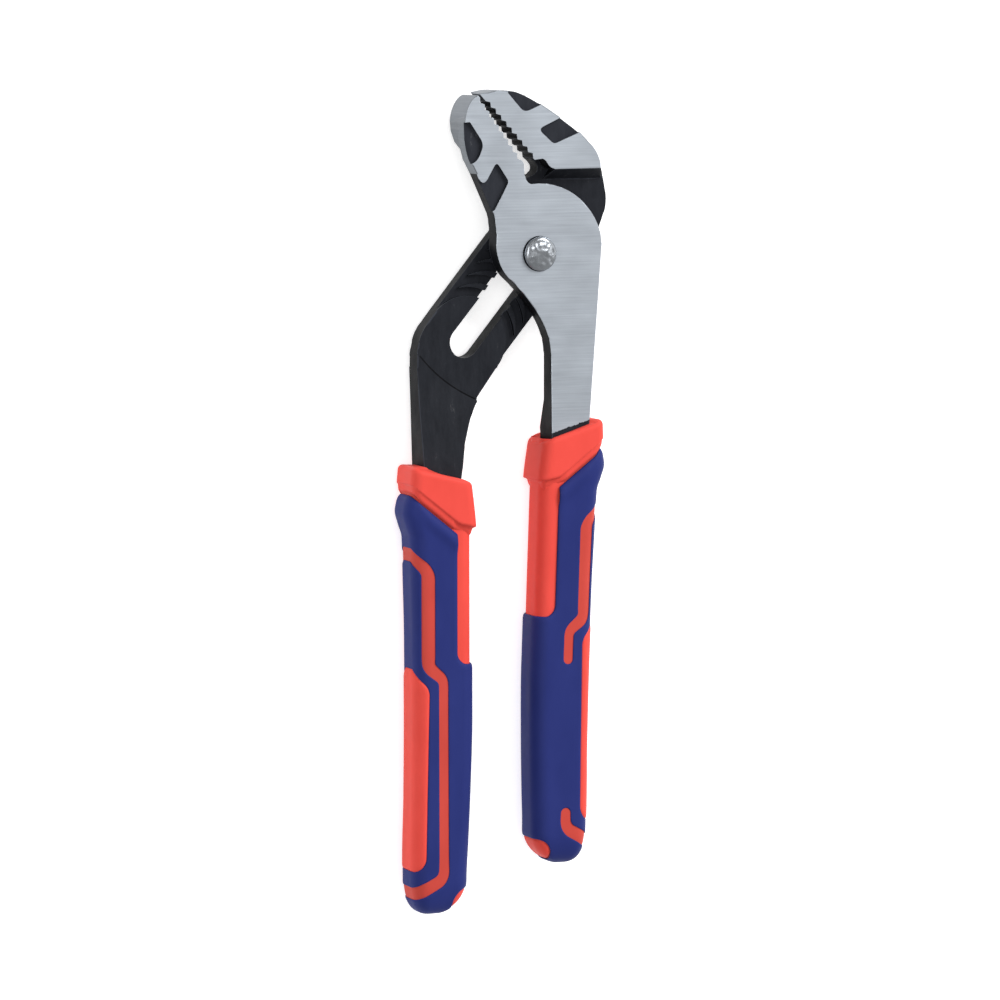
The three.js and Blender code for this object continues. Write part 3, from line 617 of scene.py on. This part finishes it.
def smooth_table(table, at):
    """A smooth curve through a table, with no overshoot: slopes are held between their neighbours'."""
    x, y = (np.array(column, float) for column in zip(*table))
    slope = np.diff(y) / np.diff(x)
    tangent = np.zeros_like(y)
    same = slope[:-1] * slope[1:] > 0
    tangent[1:-1][same] = 2 * (slope[:-1] * slope[1:])[same] / (slope[:-1] + slope[1:])[same]
    i = np.clip(np.searchsorted(x, at) - 1, 0, len(x) - 2)
    h = x[i + 1] - x[i]
    s = np.clip((at - x[i]) / h, 0.0, 1.0)
    return (
        (1 + 2 * s) * (1 - s) ** 2 * y[i]
        + s * (1 - s) ** 2 * h * tangent[i]
        + s**2 * (3 - 2 * s) * y[i + 1]
        + s**2 * (s - 1) * h * tangent[i + 1]
    )


def to_model(grip, e, t, z):
    """Points of a grip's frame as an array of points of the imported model, in metres."""
    lean = math.radians(grip["lean"])
    x, y = grip["side"] * e, -t
    leaned_x = x * math.cos(lean) - y * math.sin(lean)
    leaned_y = x * math.sin(lean) + y * math.cos(lean)
    local = np.stack([leaned_x, leaned_y, z], 1)
    return (local + np.array([grip["x"], grip["y"], 0.0])) * MM + np.array(PIVOT)


# %% [markdown]
# The body's section is a rectangle with round corners. A walk once round it, from the middle of the
# inner side over the front to the outer side and back behind, turns a number from 0 to 1 into a point
# and a normal. Below the last straight stretch the section shrinks towards a pole, which closes the end
# of the grip. The powers say how full that end is on each side.

# %% Walk round a section
HALF_THICKNESS = 7.2
CORNER = 4.6
USUAL_FLAT = 10.4
CAP_START = 127.0
GRIP_LENGTH = 137.3
CAP_POLE = 1.5
CAP_INNER_POWER = 1.1
CAP_OUTER_POWER = 0.55
CAP_THICK_POWER = 0.7


def section_walk(walk, inner, outer, half, corner):
    """The point (e, z) and normal of a rounded rectangle, with walk running from 0 to 1 once round it."""
    quarter = math.pi / 2 * corner
    stretches = np.array([half - corner, quarter, USUAL_FLAT, quarter, half - corner])
    stops = np.concatenate([[0.0], np.cumsum(stretches)]) / (2 * stretches.sum())
    front = walk <= 0.5
    w = np.where(front, walk, 1.0 - walk)
    share = [np.clip((w - a) / (b - a), 0.0, 1.0) for a, b in zip(stops, stops[1:])]
    angle = math.pi - (share[1] + share[3]) * math.pi / 2
    flat_inner, flat_outer = inner + corner, outer - corner
    centre = np.where(w < (stops[2] + stops[3]) / 2, flat_inner, flat_outer)
    along = flat_inner + (flat_outer - flat_inner) * share[2]
    on_top = (share[2] > 0) & (share[2] < 1)
    e = np.where(on_top, along, centre + corner * np.cos(angle))
    z = np.where(share[0] < 1, (half - corner) * share[0], half - corner + corner * np.sin(angle))
    z = np.where(share[4] > 0, (half - corner) * (1 - share[4]), z)
    sign = np.where(front, 1.0, -1.0)
    return e, sign * z, np.cos(angle), sign * np.sin(angle)


def body_point(walk, down):
    """A point of the grip's body and its normal as (e, t, z) arrays; down runs on over the end cap."""
    tip = math.pi / 2 * np.clip((down - CAP_START) / (GRIP_LENGTH - CAP_START), 0.0, 1.0)
    t = np.where(down < CAP_START, down, CAP_START + (GRIP_LENGTH - CAP_START) * np.sin(tip))
    inner, outer = smooth_table(INNER_EDGE, down), smooth_table(OUTER_EDGE, down)
    e, z, normal_e, normal_z = section_walk(walk, inner, outer, HALF_THICKNESS, CORNER)
    shrink = np.clip(np.cos(tip), 0.0, 1.0)
    across = np.where(e < CAP_POLE, shrink**CAP_INNER_POWER, shrink**CAP_OUTER_POWER)
    e = CAP_POLE + (e - CAP_POLE) * across
    z = z * shrink**CAP_THICK_POWER
    normal = (normal_e * np.cos(tip), np.sin(tip), normal_z * np.cos(tip))
    return (e, t, z), normal


# %% [markdown]
# Where the two colours meet is drawn with signed distances: each field is a function of e and t that is
# negative inside it and counts millimetres from its border. The smallest of them all is the distance
# from the blue skin's border, which is all that is needed to trim the skin there and to roll its edge
# over. The pad and the loop line cross the rounded outer corner. They are drawn as if it were rolled
# out flat, so that their slanting lines run straight on over it.

# %% Colour fields
STRIP = {"edge": -4.2, "end": 60.4, "turn": 3.6}
PAD = {
    "top": 61.2, "slope": 0.85, "foot": 123.4, "upper": 5.0, "lower": 6.4,
    "top_turn": 1.6, "foot_turn": 4.4,
}
FLANK = 12.2
TOE = {"edge": -2.8, "top": 129.2, "turn": 5.0}


def rounded_field(across, along, turn):
    """The distance from a corner region that is negative where both numbers are, its corner rounded."""
    a, b = across + turn, along + turn
    return np.minimum(np.maximum(a, b), 0.0) + np.hypot(np.maximum(a, 0.0), np.maximum(b, 0.0)) - turn


def developed(e, t):
    """How far a point lies from the grip's axis when the rounded outer corner is rolled out flat."""
    over = e - (smooth_table(OUTER_EDGE, t) - CORNER)
    return np.where(over > 0.0, e - over + CORNER * np.arcsin(np.clip(over / CORNER, 0.0, 1.0)), e)


def strip_field(e, t):
    return rounded_field(e - STRIP["edge"], t - STRIP["end"], STRIP["turn"])


def pad_field(e, t):
    """The pad's inner edge leans a little, its top slants down from the flank and its foot is level."""
    share = np.clip((t - PAD["top"]) / (PAD["foot"] - PAD["top"]), 0.0, 1.0)
    out = developed(e, t)
    inside = PAD["upper"] + (PAD["lower"] - PAD["upper"]) * share - out
    above = (PAD["top"] + PAD["slope"] * (FLANK - out) - t) / math.hypot(1.0, PAD["slope"])
    upper_part = rounded_field(inside, above, PAD["top_turn"])
    return np.maximum(upper_part, rounded_field(inside, t - PAD["foot"], PAD["foot_turn"]))


def toe_field(e, t):
    return rounded_field(e - TOE["edge"], TOE["top"] - t, TOE["turn"])


# %% [markdown]
# The collar's foot is a slanting line that bends near the inner side. How far a point lies below it,
# square to the slant, places the upper border of the skin and the guard.

# %% Collar's foot
FOOT_BEND = -4.6
FOOT_LEVEL = 20.5
FOOT_SLOPE = 0.804
FOOT_INNER_SLOPE = 0.22
SQUARE_TO_FOOT = 0.78


def collar_foot(e):
    slope = np.where(e > FOOT_BEND, FOOT_SLOPE, FOOT_INNER_SLOPE)
    return FOOT_LEVEL - (e - FOOT_BEND) * slope


def below_collar(e, t):
    return (t - collar_foot(e)) * SQUARE_TO_FOOT


# %% [markdown]
# The loop line is a path with a width: slanting in from the flank, down the front in two straight
# stretches with a jog between them, and slanting back to the flank. Its corners are short curves. On
# the right grip's front the line stops short of a plain panel, with round ends, so there the path is in
# two parts.

# %% Loop line
CURVE_POINTS = 10


def curve_points(*controls):
    """Points of a Bezier curve."""
    s = np.linspace(0.0, 1.0, CURVE_POINTS)[:, None]
    controls = [np.array(p, float) for p in controls]
    while len(controls) > 1:
        controls = [a + (b - a) * s for a, b in zip(controls, controls[1:])]
    return [tuple(p) for p in controls[0]]


UPPER_LINE = 5.5
LOWER_LINE = 0.55
FOOT_LINE = 0.45
LINE_TOP = [
    (30.0, 26.4),
    (12.4, 26.5),
    *curve_points((7.4, 29.95), (UPPER_LINE, 31.3), (UPPER_LINE, 33.6)),
]
LINE_JOG = [
    *curve_points((UPPER_LINE, 59.2), (UPPER_LINE, 60.9), (4.2, 61.95)),
    *curve_points((1.85, 63.85), (LOWER_LINE, 64.9), (LOWER_LINE, 66.7)),
]
LINE_FOOT = [
    *curve_points((FOOT_LINE, 122.8), (FOOT_LINE, 125.4), (2.5, 126.6)),
    *curve_points((6.5, 128.7), (9.0, 130.2), (12.0, 130.5)),
    (30.0, 130.6),
]
LINE_HALF_WIDTH = [
    (20, 1.8), (30, 1.8), (34, 2.2), (57, 2.2), (67, 1.5), (118, 1.55), (124, 1.7), (130, 2.1), (140, 2.1),
]
PANEL = (75.0, 119.5)
END_HALF_WIDTH = 1.5
RIGHT_FOOT_SHIFT = 1.0
print("loop line", len(LINE_TOP + LINE_JOG + LINE_FOOT), "points")


def path_distance(e, t, path):
    best = np.full_like(e, 1e9)
    for (e0, t0), (e1, t1) in zip(path, path[1:]):
        de, dt = e1 - e0, t1 - t0
        s = np.clip(((e - e0) * de + (t - t0) * dt) / (de * de + dt * dt), 0.0, 1.0)
        best = np.minimum(best, np.hypot(e - e0 - s * de, t - t0 - s * dt))
    return best


def line_field(e, t, stopped):
    """The distance from the loop line, which stops at the panel where stopped is true."""
    out = developed(e, t)
    whole = path_distance(out, t, LINE_TOP + LINE_JOG + LINE_FOOT)
    above = path_distance(out, t, LINE_TOP + LINE_JOG + [(LOWER_LINE, PANEL[0] - END_HALF_WIDTH)])
    below = path_distance(out - RIGHT_FOOT_SHIFT, t, [(FOOT_LINE, PANEL[1] + END_HALF_WIDTH)] + LINE_FOOT)
    return np.where(stopped, np.minimum(above, below), whole) - smooth_table(LINE_HALF_WIDTH, t)


# %% [markdown]
# Both mouldings start as a flat grid, with its columns round the handle and its rows along it. The grid
# is cut along the lines where a field has a given value: edges that cross the line are split there and
# the splits are joined. So the skin's edge is a clean curve and not a staircase, with a few rows of
# faces that run along with it.

# %% Grids on the body
COLUMNS = 104
ROW_STEP = 0.62
SEAM_GAP = 0.03


def flat_grid(top):
    """A flat grid that is to be wrapped round the body from the level top down to its end."""
    bm = bmesh.new()
    rows = round((GRIP_LENGTH - top) / ROW_STEP)
    bmesh.ops.create_grid(bm, x_segments=COLUMNS, y_segments=rows, size=0.5)
    return bm


def grid_place(bm, top):
    """How far round and how far down the body each vertex of a flat grid is to be."""
    flat = np.array([v.co[:2] for v in bm.verts])
    return flat[:, 0] + 0.5, top + (0.5 - flat[:, 1]) * (GRIP_LENGTH - top)


def cut_grid(bm, top, field, level):
    """Cuts a flat grid along the line where a field of the body has this level."""
    point, _ = body_point(*grid_place(bm, top))
    value = field(*point) - level
    bm.verts.index_update()
    shares = {}
    for edge in bm.edges:
        first, second = (value[v.index] for v in edge.verts)
        if first * second < 0:
            shares[edge] = first / (first - second)
    split = bmesh.ops.bisect_edges(bm, edges=list(shares), cuts=1, edge_percents=shares)["geom_split"]
    bmesh.ops.connect_verts(bm, verts=[g for g in split if isinstance(g, bmesh.types.BMVert)])


def place_verts(bm, places, same_point):
    """Moves the vertices of a grid to their places in the model and joins those that meet."""
    for vert, co in zip(bm.verts, places):
        vert.co = co
    bmesh.ops.remove_doubles(bm, verts=bm.verts, dist=same_point * MM)
    bmesh.ops.recalc_face_normals(bm, faces=bm.faces)


def lay(bm, top, grip, height):
    """Wraps a flat grid round the body, lifted along the normal, and carries it into the model."""
    point, normal = body_point(*grid_place(bm, top))
    lift = height(*point)
    e, t, z = (p + n * lift for p, n in zip(point, normal))
    place_verts(bm, to_model(grip, e, t, z), SEAM_GAP)


# %% [markdown]
# The blue skin lies on the body's surface. Towards its border the surface rolls over like a quarter of
# an ellipse, wide beside the collar and the inner strip and narrow along the loop line, the pad and the
# toe. Just below the collar it swells into a guard that keeps the thumb off the collar. The trimmed
# edge is then extruded down into the handle, so the skin has a visible thickness.

# %% Blue skin
SKIN_TOP = 4.0
SKIN_DEPTH = 1.3
SKIN_GAP = 0.35
WIDE_ROLL = (1.5, 0.62)
NARROW_ROLL = (0.45, 0.2)
SKIN_CUTS = (0.0, 0.12, 0.4, 1.0)
GUARD = {"height": 0.75, "at": 2.6, "width": 1.9, "fade_end": 9.0, "fade": 4.0}


def wide_field(e, t):
    return np.minimum(strip_field(e, t), below_collar(e, t) - SKIN_GAP)


def narrow_field(e, t, stopped):
    return np.minimum.reduce([line_field(e, t, stopped), pad_field(e, t), toe_field(e, t)])


def roll(distance, size):
    """How far a rolled edge has dropped at a distance from the border; size is its width and drop."""
    inside = np.clip(1.0 - distance / size[0], 0.0, 1.0)
    return size[1] * (1.0 - np.sqrt(1.0 - inside**2))


def skin_height(e, t, stopped):
    bulge = GUARD["height"] * np.exp(-(((below_collar(e, t) - GUARD["at"]) / GUARD["width"]) ** 2))
    guard = bulge * np.clip((GUARD["fade_end"] - e) / GUARD["fade"], 0.0, 1.0)
    return guard - roll(wide_field(e, t), WIDE_ROLL) - roll(narrow_field(e, t, stopped), NARROW_ROLL)


def blue_skin(side, nodes):
    grip = GRIPS[side]

    def is_stopped(z):
        return grip["panel"] & (z > 0)

    def border(e, t, z):
        wide = wide_field(e, t) / WIDE_ROLL[0]
        return np.minimum(wide, narrow_field(e, t, is_stopped(z)) / NARROW_ROLL[0])

    bm = flat_grid(SKIN_TOP)
    for level in SKIN_CUTS:
        cut_grid(bm, SKIN_TOP, border, level)
    point, _ = body_point(*grid_place(bm, SKIN_TOP))
    marks = bm.verts.layers.float.new("border")
    for vert, value in zip(bm.verts, border(*point)):
        vert[marks] = value
    outside = [f for f in bm.faces if sum(v[marks] for v in f.verts) < 0.0]
    bmesh.ops.delete(bm, geom=outside, context="FACES")
    lay(bm, SKIN_TOP, grip, lambda e, t, z: skin_height(e, t, is_stopped(z)))
    rim = [edge for edge in bm.edges if edge.is_boundary]
    inward = {v.co.to_tuple(9): -v.normal * SKIN_DEPTH * MM for edge in rim for v in edge.verts}
    wall = bmesh.ops.extrude_edge_only(bm, edges=rim)["geom"]
    for vert in (g for g in wall if isinstance(g, bmesh.types.BMVert)):
        vert.co += inward[vert.co.to_tuple(9)]
    bmesh.ops.recalc_face_normals(bm, faces=bm.faces)
    finish_piece(side + "_blue_skin", bm, [BLUE], grip["body"], nodes)


blue_skin("right", ["right_grip_shell"])
blue_skin("left", ["left_grip_shell", "left_grip_island"])

# %% [markdown]
# The red core is the same grid, sunk below the skin. It shows at three levels: the inner strip lies
# deepest, the loop line and the toe are almost level with the skin, and the pad swells out above it
# with a rounded edge. The core rises from the strip's level to the line's where the skin hides it.
# Further out than the strip and the toe, only the loop line and the pad show, so all faces there but the
# pad's get the deeper red, which paints the shade of the recessed line.

# %% Red core
CORE_TOP = 6.0
CORE_LEVEL = -0.85
LINE_LEVEL = -0.3
TOE_LEVEL = -0.3
PAD_LEVEL = 0.2
PAD_EDGE = 1.4
PAD_CUTS = (0.0, 0.06, 0.25, 0.6, 1.0)
TOE_EDGE = 0.8
TOE_CUTS = (0.0, 0.1, 0.4, 1.0)
RISE_FROM_STRIP = -3.6
RISE_FROM_COLLAR = 3.0
RISE_WIDTH = 2.0
SHADED_RED_FROM = STRIP["edge"] + 1.0
PAD_BORDER = -0.01


def swell(distance, radius):
    """How far a rounded edge has risen, from 0 to 1, at a distance inside the border."""
    inside = np.clip(1.0 - distance / radius, 0.0, 1.0)
    return np.where(distance < 0.0, 0.0, np.sqrt(1.0 - inside**2))


def core_height(e, t, z):
    beside_strip = np.clip((e - RISE_FROM_STRIP) / RISE_WIDTH, 0.0, 1.0)
    beside_collar = np.clip((below_collar(e, t) - RISE_FROM_COLLAR) / RISE_WIDTH, 0.0, 1.0)
    level = CORE_LEVEL + (LINE_LEVEL - CORE_LEVEL) * beside_strip * beside_collar
    pad = (PAD_LEVEL - level) * swell(-pad_field(e, t), PAD_EDGE)
    toe = (TOE_LEVEL - level) * swell(-toe_field(e, t), TOE_EDGE)
    return level + pad + toe


def red_core(side):
    grip = GRIPS[side]
    bm = flat_grid(CORE_TOP)
    for field, edge, depths in ((pad_field, PAD_EDGE, PAD_CUTS), (toe_field, TOE_EDGE, TOE_CUTS)):
        for depth in depths:
            cut_grid(bm, CORE_TOP, lambda e, t, z: field(e, t), -depth * edge)
    (e, t, _), _ = body_point(*grid_place(bm, CORE_TOP))
    # Faces beyond the strip and outside the pad get the painted shade red.
    shaded_red = (e > SHADED_RED_FROM) & (pad_field(e, t) > PAD_BORDER)
    bm.verts.index_update()
    for face in bm.faces:
        face.material_index = int(all(shaded_red[v.index] for v in face.verts))
    lay(bm, CORE_TOP, grip, core_height)
    reds = [RED, LINE_SHADE_RED]
    finish_piece(side + "_red_core", bm, reds, grip["body"], [side + "_grip_core"])


for side in GRIPS:
    red_core(side)

# %% [markdown]
# The collar is part of the red moulding: a thick slanted sleeve where the forging enters the grip. It
# is a grid too, whose rows follow an outline: over the slanted top, round its edge, down the face to a
# crease, and in under the guard. The rows lie between two slanted lines, the top and the foot. Each
# row's level depends on e, which depends on the level through the sleeve's edges, so the two are worked
# out in turn a few times.

# %% Collar
COLLAR_HALF = 8.0
COLLAR_CORNER = 3.0
COLLAR_OUTER = [(0, 10.2), (8.2, 10.7), (30, 10.7)]
COLLAR_INNER = [(0, -8.8), (4.6, -9.3), (20, -10.9), (30, -11.1)]
COLLAR_WIDTH = 19.4
COLLAR_MIDDLE = 10.0
COLLAR_ROUNDS = 3
COLLAR_SEAM = 0.01
TOP_ROWS = ((1.2, 0.35), (0.1, 0.55), (0.0, 0.75), (0.0, 0.95))
COLLAR_EDGE = 1.5
EDGE_ANGLES = [0, 12, 25, 40, 55, 70, 90]
FACE_ROWS = 14
CREASE_RISE = 3.1
CREASE = ((-2.95, 0.12), (-2.75, 0.3), (-2.4, 0.42), (-1.6, 0.5), (-0.9, 0.6))
UNDER_GUARD = ((-0.4, 0.85), (-0.05, 1.3), (0.1, 2.4))
STRIP_SIDE = -2.5
STRIP_FADE = 2.5
STRIP_DEEPER = 2.1
DEEPEST = 2.4


def collar_rows():
    """Rows as (share of the way from top to foot, millimetres further down, inset, section's size)."""
    rows = [(0.0, further, COLLAR_EDGE, size) for further, size in TOP_ROWS]
    for angle in np.radians(EDGE_ANGLES):
        rows.append((0.0, COLLAR_EDGE * (1 - math.cos(angle)), COLLAR_EDGE * (1 - math.sin(angle)), 1.0))
    for share in np.linspace(0.1, 1.0, FACE_ROWS):
        rows.append((share, COLLAR_EDGE * (1 - share) - CREASE_RISE * share, 0.0, 1.0))
    return rows + [(1.0, further, inset, 1.0) for further, inset in CREASE + UNDER_GUARD]


def collar(side):
    grip = GRIPS[side]
    rows = collar_rows()
    bm = bmesh.new()
    bmesh.ops.create_grid(bm, x_segments=COLUMNS, y_segments=len(rows) - 1, size=0.5)
    flat = np.array([v.co[:2] for v in bm.verts])
    walk = flat[:, 0] + 0.5
    row = np.array(rows)[np.rint((0.5 - flat[:, 1]) * (len(rows) - 1)).astype(int)]
    share, further, inset, size = row.T
    t = np.full_like(walk, COLLAR_MIDDLE)
    for _ in range(COLLAR_ROUNDS):
        inner, outer = smooth_table(COLLAR_INNER, t), smooth_table(COLLAR_OUTER, t)
        e, z, normal_e, normal_z = section_walk(walk, inner, outer, COLLAR_HALF, COLLAR_CORNER)
        top = (COLLAR_OUTER[0][1] - e) / COLLAR_WIDTH * grip["fall"]
        t = top + (collar_foot(e) - top) * share + further
    beside_strip = np.clip((STRIP_SIDE - e) / STRIP_FADE, 0.0, 1.0) * (share == 1.0)
    inset = np.minimum(inset * (1.0 + STRIP_DEEPER * beside_strip), DEEPEST)
    e, z = (e - normal_e * inset) * size, (z - normal_z * inset) * size
    place_verts(bm, to_model(grip, e, t, z), COLLAR_SEAM)
    finish_piece(side + "_collar", bm, [RED], grip["body"], [side + "_grip_core"])


for side in GRIPS:
    collar(side)

# %% [markdown]
# The stage is a pale floor under soft, even light. Bright metal shows what it reflects, so the world is
# white, only dimmer on the left, and three area lights give the forms their shading.

# %% Floor and light
FLOOR_HALF = 2.0
FLOOR_GLOW = 0.6


def floor():
    bm = bmesh.new()
    bmesh.ops.create_grid(bm, x_segments=1, y_segments=1, size=FLOOR_HALF)
    mesh = bpy.data.meshes.new("floor")
    bm.to_mesh(mesh)
    bm.free()
    material, shader = new_material("floor_paint", (0.9, 0.9, 0.9), 0.8, 0.0, specular=0.1)
    shader.inputs["Emission Color"].default_value = (1.0, 1.0, 1.0, 1.0)
    shader.inputs["Emission Strength"].default_value = FLOOR_GLOW
    mesh.materials.append(material)
    plane = bpy.data.objects.new("floor", mesh)
    bpy.context.scene.collection.objects.link(plane)


def area_light(name, at, size, power):
    light = bpy.data.lights.new(name, "AREA")
    light.size = size
    light.energy = power
    lamp = bpy.data.objects.new(name, light)
    lamp.location = at
    lamp.rotation_euler = (-Vector(at)).to_track_quat("-Z", "Y").to_euler()
    bpy.context.scene.collection.objects.link(lamp)


def studio_world(left, right):
    """A white surround that is dimmer on the left than on the right."""
    world = bpy.data.worlds.new("studio")
    world.use_nodes = True
    nodes, links = world.node_tree.nodes, world.node_tree.links
    direction = nodes.new("ShaderNodeTexCoord")
    split = nodes.new("ShaderNodeSeparateXYZ")
    strength = nodes.new("ShaderNodeMapRange")
    for socket, value in (("From Min", -1.0), ("From Max", 1.0), ("To Min", left), ("To Max", right)):
        strength.inputs[socket].default_value = value
    links.new(direction.outputs["Generated"], split.inputs["Vector"])
    links.new(split.outputs["X"], strength.inputs["Value"])
    nodes["Background"].inputs["Color"].default_value = (1.0, 1.0, 1.0, 1.0)
    links.new(strength.outputs["Result"], nodes["Background"].inputs["Strength"])
    bpy.context.scene.world = world


floor()
area_light("key", at=(1.65, 1.85, 2.1), size=1.5, power=84.0)
area_light("side", at=(1.3, 0.05, 0.75), size=0.5, power=1.5)
area_light("fill", at=(-0.7, 0.3, 1.5), size=0.9, power=9.0)
studio_world(left=0.3, right=0.6)
bpy.context.scene.view_settings.view_transform = "Standard"
print("lights", [(light.name, light.energy) for light in bpy.data.lights])

# %% [markdown]
# The photo was taken from a good distance, 24 degrees to the left of the tool's face and 6 degrees
# above it, so the lens is long. The shift puts the tool where it is in the picture.

# %% Camera
VIEW = Vector((-0.405, 0.104, 0.908)).normalized()
DISTANCE = 1.5
WIDTH_SEEN = 0.305
LOOKED_AT = Vector((0.0, -70.0, 0.0))
SHIFT = (-0.0314, -0.018)
target = PIVOT + LOOKED_AT * MM
lens = bpy.data.cameras.new("photo_camera")
lens.lens = lens.sensor_width * DISTANCE / WIDTH_SEEN
lens.shift_x, lens.shift_y = SHIFT
camera = bpy.data.objects.new("photo_camera", lens)
camera.location = target + VIEW * DISTANCE
right = Vector((0.0, 1.0, 0.0)).cross(VIEW).normalized()
camera.rotation_euler = Matrix((right, VIEW.cross(right), VIEW)).transposed().to_euler()
bpy.context.scene.collection.objects.link(camera)
bpy.context.scene.camera = camera
print("focal length", round(lens.lens, 1), "mm")
